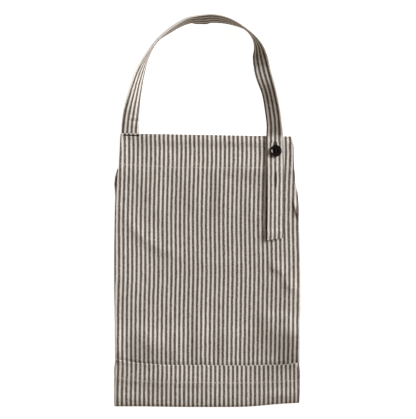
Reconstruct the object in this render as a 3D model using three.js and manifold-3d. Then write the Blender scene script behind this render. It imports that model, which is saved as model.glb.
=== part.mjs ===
// Striped bib apron, folded flat: the side wings lie behind the front, the skirt is folded up behind
// both, and the neck strap is buttoned into a loop above the bib.
// Millimetres, +Z up from the floor, +Y from the skirt to the neck, X across the front.
import * as THREE from 'three';
import { mergeVertices } from 'three/addons/utils/BufferGeometryUtils.js';
import Module from 'manifold-3d';

const wasm = await Module();
wasm.setup();

// Cloth and the stack of its layers
const CLOTH = 1.0; // one layer
const PITCH = 1.4; // middle of one layer to the middle of the next
const BEND = 2.5 * PITCH; // radius of the front layer round the bottom fold
const GAP = 0.4; // between pieces that lie on one another
const LEFT_FOLD = PITCH / 2; // radius of the left side fold, its wing one layer down
const RIGHT_FOLD = PITCH; // radius of the right side fold, its wing two layers down

// Folded front, as nominal heights before the small skew of the top and bottom edges
const BIB_TOP = 112.5;
const BIB_LEAN = 0.0175; // fall of the top edge to the right, per millimetre
const BIB_HEM = 47; // turned to the back
// The bib comes down to the strap behind its left corner, and nearly to the floor at its right
const BIB_SAG = { left: 3.2, leftEnd: -95, right: 5.2, rightEnd: 80, topEase: 6 };
const ARMHOLE = 48; // the armhole curve meets the side folds here
const BOTTOM = -295;
const BOTTOM_RISE = { height: 5, from: 50, to: 140 }; // right end of the bottom fold
const FOOT = BOTTOM + BEND + PITCH + CLOTH / 2; // axis of the bottom fold
const SKIRT_END = 60; // lower edge of the skirt, behind
const SKIRT_PEEK = { y: 42, half: 16, reach: 3.4 }; // the skirt behind shows past the front's left edge
const WING = 170; // reach of each wing behind the front
const ARMHOLE_DROP = 150; // fall of the armhole curve across a wing
const HALF_FRONT = 138; // about half the folded front's width

// Outer edges of the folded front
const SIDE_EDGES = [
  { y: -295, left: 137.8, right: 137.4 },
  { y: -230, left: 136.4, right: 138 },
  { y: -200, left: 137.8, right: 139.8 },
  { y: -110, left: 139, right: 141.2 },
  { y: -10, left: 138.2, right: 138.8 },
  { y: 20, left: 137.2, right: 136.8 },
  { y: 48, left: 135.4, right: 133.8 },
  { y: 70, left: 133.2, right: 132.4 },
  { y: 105, left: 131.6, right: 131 },
  { y: 113, left: 131, right: 128.2 },
];

// Pocket: its hemmed mouth, front depth and the end underneath
const POCKET_HEM = 29;
const POCKET_END = -192;
const POCKET_TUCK = { wrap: 0.35, length: 40 }; // underneath, its sides wrap less and stay out of sight
const POCKET_EASE = 25; // the stack comes down to the floor over this length past the end
const POCKET_MOUTH = [
  { x: -138, y: -224.5 },
  { x: -118, y: -228 },
  { x: -80, y: -231.2 },
  { x: 0, y: -232 },
  { x: 80, y: -233.4 },
  { x: 124, y: -234.6 },
  { x: 138, y: -232.6 },
];

// Relief of the front panel: a soft cushion that falls off at its edges, and the dents in it
const CUSHION = { rise: 2.4, sideFrom: 2, sideTo: 15, mouthTo: 24, topFrom: 4, topTo: 70 };
const DENTS = [
  { name: 'ridge left of the pocket mouth', x: -122, y: -208, halfX: 9, halfY: 26, rise: 1.4 },
  { name: 'hollow beside it', x: -95, y: -215, halfX: 28, halfY: 20, rise: -1.8 },
  { name: 'hollow right of the mouth', x: 108, y: -207, halfX: 28, halfY: 26, rise: -1.6 },
  { name: 'swell under the strap end', x: 88, y: -62, halfX: 36, halfY: 34, rise: 0.6 },
];

// Neck strap: width, thickness, the free loop and the end that lies on the bib
const STRAP_WIDTH = { sewn: 26.8, free: 24.4 };
const STRAP = 2.0;
const STRAP_END = -43.6;
const STRAP_SLANT = 0.17; // slant of its free end, across the width
const STRAP_SLANT_LENGTH = 40;
const STRAP_STATIONS = 84;
const STRAP_LOOP = [
  { x: -116, y: 76, tilt: 0, lift: 0 },
  { x: -115.6, y: 112, tilt: 0, lift: 0 },
  { x: -114.2, y: 135, tilt: 10, lift: 0 },
  { x: -108.8, y: 171, tilt: 40, lift: 0 },
  { x: -99.5, y: 207, tilt: 61, lift: 0 },
  { x: -86.6, y: 236, tilt: 81, lift: 0 },
  { x: -74, y: 254, tilt: 87, lift: 0 },
  { x: -55, y: 269, tilt: 81, lift: 0 },
  { x: -37.4, y: 280, tilt: 77, lift: 0 },
  { x: -19.8, y: 285, tilt: 71, lift: 0 },
  { x: 4, y: 287, tilt: 67, lift: 0 },
  { x: 22, y: 285.6, tilt: 73, lift: 0 },
  { x: 39.6, y: 280.6, tilt: 80, lift: 0 },
  { x: 58, y: 271.2, tilt: 87, lift: 0 },
  { x: 71.5, y: 257, tilt: 77, lift: 0 },
  { x: 77.6, y: 243, tilt: 55, lift: 0 },
  { x: 79.7, y: 230, tilt: 38, lift: 0 },
  { x: 84.5, y: 207, tilt: 18, lift: 0 },
  { x: 93, y: 177, tilt: 23, lift: 0.4 },
  { x: 98.1, y: 150, tilt: 24, lift: 1.4 },
  { x: 100.8, y: 126, tilt: 16, lift: 3 },
];
const STRAP_ON_BIB = [
  { x: 101.6, y: 112, tilt: 8 },
  { x: 102.2, y: 88, tilt: 0 },
  { x: 102.5, y: 66, tilt: -5 },
  { x: 102.6, y: 30, tilt: -8 },
  { x: 101.7, y: STRAP_END, tilt: -7 },
];
const BUTTONHOLES = [
  { x: 103, y: 91.5, length: 22, width: 6.4 },
  { x: 102.8, y: 45.8, length: 22, width: 1.6 },
];

// Button and its thread
const BUTTON = { x: 103.2, y: 87.6, radius: 8.9, height: 3.6, dish: 1.1, rim: 1.7 };
const BUTTON_STANDOFF = 1.3; // underside of the button above the strap
const HOLES = { count: 4, spread: 2.3, radius: 1.1 };
const THREAD = { leg: 0.75, pad: 3.6, padHeight: 0.6, shank: 1.6, bar: 0.7 };

// Colours
const CLOTH_LOOK = { color: 0x9b928b, roughness: 0.95, metalness: 0 };
const BUTTON_LOOK = { color: 0x1d120e, roughness: 0.35, metalness: 0 };
const THREAD_LOOK = { color: 0x3a2a22, roughness: 0.9, metalness: 0 };

const { smoothstep, lerp, degToRad } = THREE.MathUtils;

// A smooth function through one column of a table, the table in rising order of its key
function through(rows, key, column) {
  const keys = rows.map((row) => row[key]);
  const values = rows.map((row) => row[column]);
  const spline = new THREE.CubicInterpolant(keys, values, 1);
  return (at) => spline.evaluate(THREE.MathUtils.clamp(at, keys[0], keys[keys.length - 1]))[0];
}

const leftEdge = through(SIDE_EDGES, 'y', 'left');
const rightEdge = through(SIDE_EDGES, 'y', 'right');
const pocketMouth = through(POCKET_MOUTH, 'x', 'y');

// Skew of the whole folded stack: the top edge leans and the bottom's right end rises
function skewed(x, y) {
  const share = THREE.MathUtils.clamp((y - FOOT) / (BIB_TOP - FOOT), 0, 1);
  const rise = BOTTOM_RISE.height * smoothstep(x, BOTTOM_RISE.from, BOTTOM_RISE.to);
  return y - share * BIB_LEAN * x + (1 - share) * rise;
}

function skirtPeek(y) {
  return SKIRT_PEEK.reach * Math.exp(-(((y - SKIRT_PEEK.y) / SKIRT_PEEK.half) ** 2));
}

// Heights of the stack

function stackLift(y) {
  return PITCH * (1 - smoothstep(y, POCKET_END, POCKET_END + POCKET_EASE));
}

function bibSag(x, y) {
  const { left, leftEnd, right, rightEnd, topEase } = BIB_SAG;
  const drop = lerp(left, right, smoothstep(x, leftEnd, rightEnd));
  return drop * smoothstep(y, ARMHOLE, BIB_TOP - topEase);
}

function relief(x, y) {
  const inset = x < 0 ? leftEdge(y) + x : rightEdge(y) - x;
  const sides = smoothstep(inset, CUSHION.sideFrom, CUSHION.sideTo);
  const mouth = smoothstep(y - pocketMouth(x), 0, CUSHION.mouthTo);
  const top = smoothstep(BIB_TOP - y, CUSHION.topFrom, CUSHION.topTo);
  let rise = CUSHION.rise;
  for (const dent of DENTS) {
    const away = ((x - dent.x) / dent.halfX) ** 2 + ((y - dent.y) / dent.halfY) ** 2;
    rise += dent.rise * Math.exp(-away);
  }
  return sides * mouth * top * rise;
}

function frontHeight(x, y) {
  return CLOTH / 2 + stackLift(y) + 2 * BEND - bibSag(x, y) + relief(x, y);
}

// Columns across a sheet: share of the panel's width, turn round a side fold, reach along a wing

function panelColumns(cells) {
  return Array.from({ length: cells + 1 }, (_, k) => ({ share: (2 * k) / cells - 1, turn: 0, reach: 0 }));
}

function foldColumns(side, angle, cells) {
  return Array.from({ length: cells }, (_, k) => ({
    share: side,
    turn: (angle * (k + 1)) / cells,
    reach: 0,
  }));
}

function wingColumns(side, reaches) {
  return reaches.map((reach) => ({ share: side, turn: Math.PI, reach }));
}

function columnsAcross(panelCells, foldAngle, foldCells, reaches) {
  const sideColumns = (side) => [...foldColumns(side, foldAngle, foldCells), ...wingColumns(side, reaches)];
  return [...sideColumns(-1).reverse(), ...panelColumns(panelCells), ...sideColumns(1)];
}

// Where a column lies across the stack, and its depth there, for an offset outwards from the front
function across(column, offset, y, peek) {
  const leftAxis = leftEdge(y) + peek - CLOTH / 2 - LEFT_FOLD;
  const rightAxis = rightEdge(y) - CLOTH / 2 - RIGHT_FOLD;
  if (column.turn === 0) {
    return { x: lerp(-leftAxis, rightAxis, (column.share + 1) / 2), depth: offset };
  }
  const radius = column.share < 0 ? LEFT_FOLD : RIGHT_FOLD;
  const axis = column.share < 0 ? leftAxis : rightAxis;
  const out = axis + (radius + offset) * Math.sin(column.turn) - column.reach;
  return { x: column.share * out, depth: (radius + offset) * Math.cos(column.turn) - radius };
}

// Rows along a sheet: the hem behind, the turn over its edge, the front, the bottom fold, the underside

const spread = (from, to, cells) => Array.from({ length: cells }, (_, k) => lerp(from, to, (k + 1) / cells));

function hemRows(depth, hemCells, turnCells) {
  const behind = [depth, ...spread(depth, 0, hemCells)].map((fall) => ({ stage: 'hem', fall }));
  const over = spread(Math.PI, 0, turnCells).map((angle) => ({ stage: 'turn', angle }));
  return [...behind, ...over];
}

function frontRows(top, steps) {
  let from = top;
  return steps.flatMap(({ to, cells }) => {
    const heights = spread(from, to, cells);
    from = to;
    return heights.map((y) => ({ stage: 'front', y }));
  });
}

function bottomRows(bendCells, end, underSteps) {
  const bend = spread(0, Math.PI, bendCells).map((angle) => ({ stage: 'bend', angle }));
  let from = FOOT;
  const under = [...underSteps, { to: end, cells: 1 }].flatMap(({ to, cells }) => {
    const heights = spread(from, to, cells);
    from = to;
    return heights.map((y) => ({ stage: 'under', y }));
  });
  return [...bend, ...under];
}

// A hem of one layer turned behind an edge: where a row lies below the edge and how deep it is
function hemPlace(row, edge, offset, side) {
  const radius = PITCH / 2;
  if (row.stage === 'hem') return { y: edge - radius - row.fall, offset: offset - 2 * radius - side };
  const reach = radius + side;
  return {
    y: edge - radius + reach * Math.sin(row.angle),
    offset: offset - radius + reach * Math.cos(row.angle),
  };
}

// From the flat stack to the folded one: round the bottom fold and on to the underside
function settle(column, row, place, offset) {
  const peek = row.stage === 'under' ? skirtPeek(place) : 0;
  const { x, depth } = across(column, offset, row.stage === 'bend' ? FOOT : place, peek);
  if (row.stage === 'bend') {
    const radius = BEND + depth;
    const y = skewed(x, FOOT) - radius * Math.sin(row.angle);
    return new THREE.Vector3(x, y, CLOTH / 2 + PITCH + BEND + radius * Math.cos(row.angle));
  }
  if (row.stage === 'under') {
    return new THREE.Vector3(x, skewed(x, place), CLOTH / 2 + stackLift(place) - depth);
  }
  const shaped = column.turn === 0 ? relief(x, place) - bibSag(x, place) : 0;
  const z = CLOTH / 2 + stackLift(place) + 2 * BEND + depth + shaped;
  return new THREE.Vector3(x, skewed(x, place), z);
}

// Body: the point of the cloth at a column and row, a little to one side of its middle
function bodyPoint(column, row, side) {
  if (row.stage === 'hem' || row.stage === 'turn') {
    const hem = hemPlace(row, BIB_TOP, 0, side);
    return settle(column, row, hem.y, hem.offset);
  }
  const armholeShare = THREE.MathUtils.clamp((row.y - FOOT) / (ARMHOLE - FOOT), 0, 1);
  const armholeFall = ARMHOLE_DROP * Math.sqrt(column.reach / WING);
  const fall = row.stage === 'front' ? armholeFall * armholeShare : 0;
  return settle(column, row, row.y - fall, side);
}

// Pocket: one layer over the front, two where its hem is tucked behind the mouth
function pocketPoint(column, row, side) {
  const mouth = pocketMouth(column.share * HALF_FRONT);
  if (row.stage === 'hem' || row.stage === 'turn') {
    const hem = hemPlace(row, mouth, 2 * PITCH, side);
    return settle(column, row, hem.y, hem.offset);
  }
  const y = row.stage === 'front' ? lerp(FOOT, mouth - PITCH / 2, row.y) : row.y;
  const hemmed = row.stage === 'front' ? smoothstep(y, FOOT + 6, mouth - POCKET_HEM - 3) : 0;
  const tuck = row.stage === 'under' ? smoothstep(y, FOOT, FOOT + POCKET_TUCK.length) : 0;
  const wrapped = { ...column, turn: column.turn * lerp(1, POCKET_TUCK.wrap, tuck) };
  return settle(wrapped, row, y, PITCH * (1 + hemmed) + side);
}

// A closed sheet: both faces of every cell that is there, and a wall along every open edge
function sheetGeometry(columns, rows, present, point, thickness) {
  const positions = [];
  const indices = [];
  const seen = new Map();
  const vertex = (i, j, face) => {
    const key = `${i} ${j} ${face}`;
    if (!seen.has(key)) {
      seen.set(key, positions.length / 3);
      positions.push(...point(columns[i], rows[j], (face * thickness) / 2).toArray());
    }
    return seen.get(key);
  };
  const inside = (i, j) => i >= 0 && j >= 0 && i < columns.length - 1 && j < rows.length - 1 && present(i, j);
  const wall = (p, q) => {
    const [upP, upQ] = [vertex(...p, 1), vertex(...q, 1)];
    const [downP, downQ] = [vertex(...p, -1), vertex(...q, -1)];
    indices.push(upQ, upP, downP, upQ, downP, downQ);
  };
  for (let j = 0; j < rows.length - 1; j += 1) {
    for (let i = 0; i < columns.length - 1; i += 1) {
      if (!inside(i, j)) continue;
      const ring = [[i, j], [i, j + 1], [i + 1, j + 1], [i + 1, j]];
      const [a, b, c, d] = ring.map((node) => vertex(...node, 1));
      indices.push(a, b, c, a, c, d);
      const [e, f, g, h] = ring.map((node) => vertex(...node, -1));
      indices.push(e, g, f, e, h, g);
      const beyond = [[i - 1, j], [i, j + 1], [i + 1, j], [i, j - 1]];
      beyond.forEach((cell, k) => {
        if (!inside(...cell)) wall(ring[k], ring[(k + 1) % 4]);
      });
    }
  }
  const geometry = new THREE.BufferGeometry();
  geometry.setAttribute('position', new THREE.Float32BufferAttribute(positions, 3));
  geometry.setIndex(indices);
  return geometry;
}

function bodyGeometry() {
  const columns = columnsAcross(18, Math.PI, 5, [45, 100, WING]);
  const rows = [
    ...hemRows(BIB_HEM, 3, 5),
    ...frontRows(BIB_TOP - PITCH / 2, [
      { to: ARMHOLE, cells: 6 },
      { to: -190, cells: 12 },
      { to: -236, cells: 8 },
      { to: FOOT, cells: 2 },
    ]),
    ...bottomRows(7, SKIRT_END, [
      { to: POCKET_END, cells: 1 },
      { to: POCKET_END + POCKET_EASE, cells: 4 },
      { to: 0, cells: 1 },
      { to: SKIRT_END - 15, cells: 3 },
    ]),
  ];
  const armholeRow = rows.findIndex((row) => row.stage === 'front' && row.y <= ARMHOLE);
  const onPanel = (i) => columns[i].turn === 0 && columns[i + 1].turn === 0;
  const present = (i, j) => onPanel(i) || j >= armholeRow;
  return sheetGeometry(columns, rows, present, bodyPoint, CLOTH);
}

function pocketGeometry() {
  const columns = columnsAcross(18, Math.PI / 2, 3, []);
  const shares = spread(1, 0, 7).map((y) => ({ stage: 'front', y }));
  const rows = [...hemRows(POCKET_HEM, 2, 5), ...shares, ...bottomRows(7, POCKET_END, [])];
  return sheetGeometry(columns, rows, () => true, pocketPoint, CLOTH);
}

// Strap: centre line, tilt of its outer edge and height of its lower edge, from the tables
function strapStations() {
  const onBib = STRAP_ON_BIB.map((row) => ({ ...row, lift: frontHeight(row.x, row.y) + CLOTH / 2 + GAP }));
  const rows = [...STRAP_LOOP, ...onBib];
  let run = 0;
  const keyed = rows.map((row, k) => {
    if (k > 0) run += Math.hypot(row.x - rows[k - 1].x, row.y - rows[k - 1].y);
    return { ...row, run };
  });
  const [x, y, tilt, lift] = ['x', 'y', 'tilt', 'lift'].map((name) => through(keyed, 'run', name));
  return Array.from({ length: STRAP_STATIONS + 1 }, (_, k) => {
    const at = (run * k) / STRAP_STATIONS;
    const ahead = new THREE.Vector2(x(at + 1) - x(at - 1), y(at + 1) - y(at - 1)).normalize();
    const lean = degToRad(tilt(at));
    const lies = y(at) < BIB_TOP && x(at) > 0;
    const base = lies ? frontHeight(x(at), y(at)) + CLOTH / 2 + GAP : Math.max(lift(at), 0);
    const width = lerp(STRAP_WIDTH.sewn, STRAP_WIDTH.free, k / STRAP_STATIONS);
    const z = base + (width / 2) * Math.abs(Math.sin(lean)) + (STRAP / 2) * Math.cos(lean);
    const slant = STRAP_SLANT * smoothstep(at, run - STRAP_SLANT_LENGTH, run);
    return { centre: new THREE.Vector3(x(at), y(at), z), ahead, lean, slant, width };
  });
}

// A point of the strap: its share of the width out from the middle, and its place above that
function strapPoint(station, share, side) {
  const reach = share * station.width;
  const ahead = new THREE.Vector3(station.ahead.x, station.ahead.y, 0);
  const outward = new THREE.Vector3(-ahead.y, ahead.x, 0);
  const up = new THREE.Vector3(0, 0, 1);
  const [cos, sin] = [Math.cos(station.lean), Math.sin(station.lean)];
  return station.centre
    .clone()
    .addScaledVector(ahead, -reach * station.slant)
    .addScaledVector(outward, reach * cos - side * sin)
    .addScaledVector(up, reach * sin + side * cos);
}

// Solids that are cut or joined

function toSolid(geometry) {
  geometry.deleteAttribute('normal');
  geometry.deleteAttribute('uv');
  const merged = mergeVertices(geometry, 1e-4);
  return new wasm.Manifold(
    new wasm.Mesh({
      numProp: 3,
      vertProperties: new Float32Array(merged.attributes.position.array),
      triVerts: new Uint32Array(merged.index.array),
    }),
  );
}

function fromSolid(solid) {
  const mesh = solid.getMesh();
  const geometry = new THREE.BufferGeometry();
  geometry.setAttribute('position', new THREE.Float32BufferAttribute(mesh.vertProperties, 3));
  geometry.setIndex(Array.from(mesh.triVerts));
  return geometry;
}

function rod(radius, from, to, sides) {
  const length = from.distanceTo(to);
  const geometry = new THREE.CylinderGeometry(radius, radius, length, sides);
  const turn = new THREE.Quaternion().setFromUnitVectors(
    new THREE.Vector3(0, 1, 0),
    to.clone().sub(from).normalize(),
  );
  geometry.applyQuaternion(turn);
  const middle = from.clone().lerp(to, 0.5);
  return toSolid(geometry.translate(middle.x, middle.y, middle.z));
}

// A pointed slit, standing through the strap
function slitCutter({ x, y, length, width }) {
  const shape = new THREE.Shape();
  shape.moveTo(0, -length / 2);
  shape.quadraticCurveTo(width, 0, 0, length / 2);
  shape.quadraticCurveTo(-width, 0, 0, -length / 2);
  const geometry = new THREE.ExtrudeGeometry(shape, { depth: 40, bevelEnabled: false, curveSegments: 6 });
  return toSolid(geometry.translate(x, y, 0));
}

function strapGeometry() {
  const stations = strapStations();
  const shares = [0.5, 0.25, 0, -0.25, -0.5];
  const ribbon = sheetGeometry(stations, shares, () => true, strapPoint, STRAP);
  const cutters = BUTTONHOLES.map(slitCutter);
  return fromSolid(cutters.reduce((solid, cutter) => solid.subtract(cutter), toSolid(ribbon)));
}

// The button and its thread are made upright on the bib's face and then leant with its slope
const BUTTON_BASE = GAP + STRAP + BUTTON_STANDOFF;

function onBib(geometry) {
  const { x, y } = BUTTON;
  const slope = (frontHeight(x, y + 1) - frontHeight(x, y - 1)) / 2;
  return geometry.rotateX(Math.atan(slope)).translate(x, y, frontHeight(x, y) + CLOTH / 2);
}

function holeCentres() {
  return Array.from({ length: HOLES.count }, (_, k) => {
    const angle = Math.PI / 4 + (k * 2 * Math.PI) / HOLES.count;
    return new THREE.Vector2(HOLES.spread * Math.cos(angle), HOLES.spread * Math.sin(angle));
  });
}

function buttonGeometry() {
  const { radius, height, dish, rim } = BUTTON;
  const profile = [
    [0, 0],
    [radius - 1.6, 0],
    [radius - 0.4, 0.8],
    [radius, 1.9],
    [radius - 0.3, height - 0.4],
    [radius - 0.9, height],
    [radius - rim, height - 0.3],
    [radius - rim - 0.9, height - dish],
    [0, height - dish],
  ].map(([r, z]) => new THREE.Vector2(r, z));
  const turned = new THREE.LatheGeometry(profile, 32).rotateX(Math.PI / 2);
  let solid = toSolid(turned.translate(0, 0, BUTTON_BASE));
  for (const { x, y } of holeCentres()) {
    const low = new THREE.Vector3(x, y, BUTTON_BASE - 1);
    const high = new THREE.Vector3(x, y, BUTTON_BASE + height + 1);
    solid = solid.subtract(rod(HOLES.radius, low, high, 12));
  }
  return onBib(fromSolid(solid));
}

function threadGeometry() {
  const barHeight = BUTTON_BASE + BUTTON.height - BUTTON.dish + 0.3 + THREAD.bar;
  const padTop = BUTTON_BASE - 0.3;
  const at = (x, y, z) => new THREE.Vector3(x, y, z);
  const pad = rod(THREAD.pad, at(0, 0, padTop - THREAD.padHeight), at(0, 0, padTop), 20);
  const shank = rod(THREAD.shank, at(0, 0, 0.3), at(0, 0, padTop - 0.1), 14);
  const tops = holeCentres().map(({ x, y }) => at(x, y, barHeight));
  const legs = tops.map((top) => rod(THREAD.leg, at(top.x, top.y, padTop - 0.3), top, 10));
  const bars = [[0, 1], [2, 3]].map(([a, b]) => rod(THREAD.bar, tops[a], tops[b], 10));
  const all = [shank, ...legs, ...bars];
  return onBib(fromSolid(all.reduce((solid, piece) => solid.add(piece), pad)));
}

function piece(name, geometry, look) {
  const mesh = new THREE.Mesh(geometry, new THREE.MeshStandardMaterial(look));
  mesh.name = name;
  return mesh;
}

const apron = new THREE.Group();
apron.name = 'apron';
apron.add(
  piece('apron_body', bodyGeometry(), CLOTH_LOOK),
  piece('pocket', pocketGeometry(), CLOTH_LOOK),
  piece('neck_strap', strapGeometry(), CLOTH_LOOK),
  piece('button', buttonGeometry(), BUTTON_LOOK),
  piece('button_thread', threadGeometry(), THREAD_LOOK),
);

export default apron;
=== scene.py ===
"""Striped linen bib apron, folded flat: its cloth, stitching and button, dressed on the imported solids.

Tables are in millimetres, and a mesh is turned to metres where it is made. +Z is up from the floor,
+Y runs from the skirt to the neck, and X runs across the front.
"""
import math
from types import SimpleNamespace as Values

import bpy
import numpy as np
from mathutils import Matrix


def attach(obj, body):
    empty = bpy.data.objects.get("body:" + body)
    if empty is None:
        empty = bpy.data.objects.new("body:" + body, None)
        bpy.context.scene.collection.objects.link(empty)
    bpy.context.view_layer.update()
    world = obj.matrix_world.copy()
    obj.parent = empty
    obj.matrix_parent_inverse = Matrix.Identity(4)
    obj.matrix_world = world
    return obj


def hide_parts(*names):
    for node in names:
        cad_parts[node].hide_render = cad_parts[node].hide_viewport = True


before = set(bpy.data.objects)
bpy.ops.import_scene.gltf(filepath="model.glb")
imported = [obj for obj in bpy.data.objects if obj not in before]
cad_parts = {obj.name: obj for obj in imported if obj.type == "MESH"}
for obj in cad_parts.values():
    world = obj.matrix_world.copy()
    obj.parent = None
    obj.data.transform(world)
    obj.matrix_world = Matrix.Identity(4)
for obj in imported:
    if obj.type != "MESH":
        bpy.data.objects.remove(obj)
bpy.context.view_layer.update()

MM = 0.001


def table(columns, rows):
    """Rows of numbers under named columns."""
    return np.array(rows, dtype=[(name, float) for name in columns.split()])


# Cloth, the stack of its folded layers and the outline of the front
CLOTH = 1.0
PITCH = 1.4
BEND = 2.5 * PITCH
GAP = 0.4
LEFT_FOLD = PITCH / 2
RIGHT_FOLD = PITCH
FOLD_PRESS = 0.55
# The side folds start narrow at the armhole and open out over this length below it
FOLD_START = Values(share=0.4, length=26.0)
BIB_TOP = 112.5
BIB_LEAN = 0.0175
BIB_HEM = 51.0
BIB_STITCH_LINE = table("x y", [
    (-132, 67.1), (-104, 65.6), (-70, 64.0), (-40, 63.2), (0, 63.6), (60, 64.5), (132, 65.7),
])
BIB_SAG = Values(left=3.2, left_end=-95.0, right=5.2, right_end=80.0, top_ease=6.0)
ARMHOLE = 48.0
BOTTOM = -295.0
BOTTOM_RISE = Values(height=5.0, start=50.0, end=140.0)
BOTTOM_BOW = Values(height=0.9, start=20.0, end=110.0)
FOOT = BOTTOM + BEND + PITCH + CLOTH / 2
SKIRT_END = 60.0
SKIRT_PEEK = Values(y=42.0, half=16.0, reach=4.1)
WING = 170.0
ARMHOLE_DROP = 150.0
HALF_FRONT = 138.0
SIDE_EDGES = table("y left right", [
    (-295, 137.8, 137.4), (-230, 137.6, 139.3), (-200, 137.8, 140), (-110, 139, 141.2),
    (-10, 138.2, 138.8), (20, 137.2, 136.8), (48, 135.4, 133.8), (70, 133.2, 132.4),
    (105, 131.6, 131), (113, 131, 128.2),
])

# Pocket. Its face steps up where the hem lies behind it, and stitches run just above the hem's raw edge.
POCKET_HEM = 27.2
POCKET_HEM_STEP = Values(start=-8.0, end=1.0)
STITCH_INSET = 2.0
POCKET_END = -192.0
POCKET_EASE = 25.0
POCKET_TUCK = Values(wrap=0.35, length=40.0)
# The pocket's ends are drawn in where its hem doubles it, and most at the mouth
MOUTH_INSET = Values(left=1.6, right=2.4, length=14.0)
POCKET_MOUTH = table("x y", [
    (-138, -224.5), (-118, -228), (-80, -231.2), (0, -232), (80, -233.4), (124, -234.6),
    (138, -232.6),
])

# Relief of the front: a soft cushion, the dents in it, and the creases that the folding left
CUSHION = Values(rise=3.9, left_edge=1.0, right_edge=0.88, left_ease=40.0, right_ease=24.0)
CUSHION_ENDS = Values(
    top_start=4.0,
    top_end=70.0,
    left_at_mouth=0.42,
    right_at_mouth=-0.3,
    left_fall=36.0,
    right_fall=56.0,
    turns_at=-60.0,
    turned_at=70.0,
    foot_start=4.0,
    foot_end=45.0,
)
MOUTH_LIP = Values(drop=1.5, length=4.5)
# The pocket's mouth stands up a little from the front, over its last stretch
MOUTH_LIFT = table("x rise", [
    (-138, 0.8), (-90, 1.7), (-40, 1.0), (20, 1.2), (60, 0.5), (85, 0.5), (120, 2.2), (138, 2.2),
])
MOUTH_LIFT_LENGTH = 12.0
# The pocket's face rolls down over the foot, most of all towards its ends
POCKET_ROLL = Values(middle=1.5, left=3.0, right=4.0, start=50.0, end=115.0, length=12.0)
DENTS = table("x y half_x half_y rise", [
    (64, 4, 9, 10, 0.9),
    (-119, -236, 17, 20, -2.2),
    (60, -240, 30, 24, -1.6),
    (98, -228, 36, 36, -3.2),
    (142, -132, 42, 42, 2.8),
    (96, -30, 40, 60, 0.8),
])
CREASE_FADE = 0.35
# Each crease runs from one point to another, drawn towards a middle point. Left and right are how far
# it spreads on either side of its run.
CREASES = table("x0 y0 xm ym x1 y1 left right rise", [
    (-130, 4, -101, -62, -20, -72, 16, 9, 1.7),
    (-130, 4, -101, -62, -20, -72, 3.5, 3.5, 0.4),
    (-40, -67, 2, -85, 75, -73, 5, 16, 1.0),
    (90, -84, 104, -86, 120, -98, 10, 6, 2.4),
    (112, -108, 122, -112, 136, -124, 9, 5.5, 2.2),
    (134, 128, 134, 86, 136, 44, 12, 12, 2.0),
    (-116, 124, -116, 88, -116, 48, 28, 10, -2.2),
    (-76, 62, -79, 20, -74, -36, 16, 20, 2.0),
    (-20, 58, -18, 25, -20, -8, 12, 18, 1.3),
    (22, 60, 24, 20, 20, -18, 16, 11, 1.6),
    (-8, -80, -10, -120, -12, -160, 9, 9, 0.6),
    (-48, -160, -48, -200, -48, -250, 9, 14, 1.5),
    (-13, -146, -12, -185, -12, -250, 11, 9, 1.5),
    (27, -155, 27, -190, 25, -245, 16, 9, 1.3),
    (-138, 60, -139, -50, -138, -170, 36, 36, 3.0),
    (-138, -160, -138, -205, -137, -256, 13, 13, 3.2),
    (-118, -174, -88, -196, -58, -218, 20, 20, 2.8),
    (66, -163, 104, -159, 142, -165, 9, 26, 3.2),
    (138, -158, 139, -200, 138, -256, 26, 26, 4.6),
    (128.5, 22, 131, 0, 140, -18, 6, 1.8, 2.6),
])
POCKET_DENTS = table("x y half_x half_y rise", [
    (146, -230, 32, 24, 4.8),
    (-64, -250, 36, 26, 2.4),
    (-100, -286, 36, 14, -1.0),
    (30, -268, 50, 14, 0.4),
    (-40, -244, 50, 9, 0.5),
])
FRONT_RIPPLE = {"seed": 11, "waves": 20, "shortest": 14.0, "longest": 46.0, "height": 0.12}
POCKET_RIPPLE = {"seed": 23, "waves": 16, "shortest": 18.0, "longest": 60.0, "height": 0.12}
# Where the relief dies out: ridges above the pocket's mouth, and all of it at the foot and the top edge
RIDGE_FADE = Values(start=-2.0, end=14.0)
FOOT_FADE = Values(start=10.0, end=40.0)
POCKET_FOOT_FADE = Values(start=4.0, end=20.0)
TOP_FADE = 12.0

# Bib's hem: a step where it ends, stitches that groove and pucker it, valleys across it and a low rim
HEM_STEP = Values(left=1.2, right=2.4, turns_at=-20.0, turned_at=70.0, start=43.5, end=63.5)
HEM_TOP = Values(start=1.0, end=10.0)
STITCH_GROOVE = Values(depth=0.3, half=1.3)
STITCH_PUCKER = Values(height=0.12, beat=0.9, half=5.0)
HEM_VALLEYS = table("y below above depth left_start left_end right_start right_end", [
    (93, 14, 7, 2.0, -115, -45, 66, 100),
    (76, 16, 12, 1.3, -115, -85, -20, 40),
])
HEM_RIM = Values(depth=0.8, height=7.0)
HEM_RIM_SPAN = {"left_start": -50.0, "left_end": -10.0, "right_start": 25.0, "right_end": 60.0}

# Neck strap
STRAP_WIDTH = Values(sewn=26.8, free=24.4)
STRAP = 2.0
STRAP_END = -43.6
STRAP_SLANT = 0.17
STRAP_SLANT_LENGTH = 40.0
# The free end is turned in, so its face rises over a short slope and rounds down again at the fold
TURNED_END = Values(rise=1.6, length=11.0, slope=6.0, round=9.0)
# The sewn leg's edges are pressed thin, and the outer edge is puffed at the top and down the free leg
PRESSED_EDGE = Values(share=0.3, width=5.0, start=135.0, end=180.0)
PUFFED_EDGE = table("run extra", [
    (0, 0), (165, 0), (190, 0.6), (245, 0.6), (275, 0), (370, 0), (400, 0.7), (490, 0.7), (520, 0),
    (660, 0),
])
PUFF_START, PUFF_FULL = 0.5, 0.85
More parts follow.
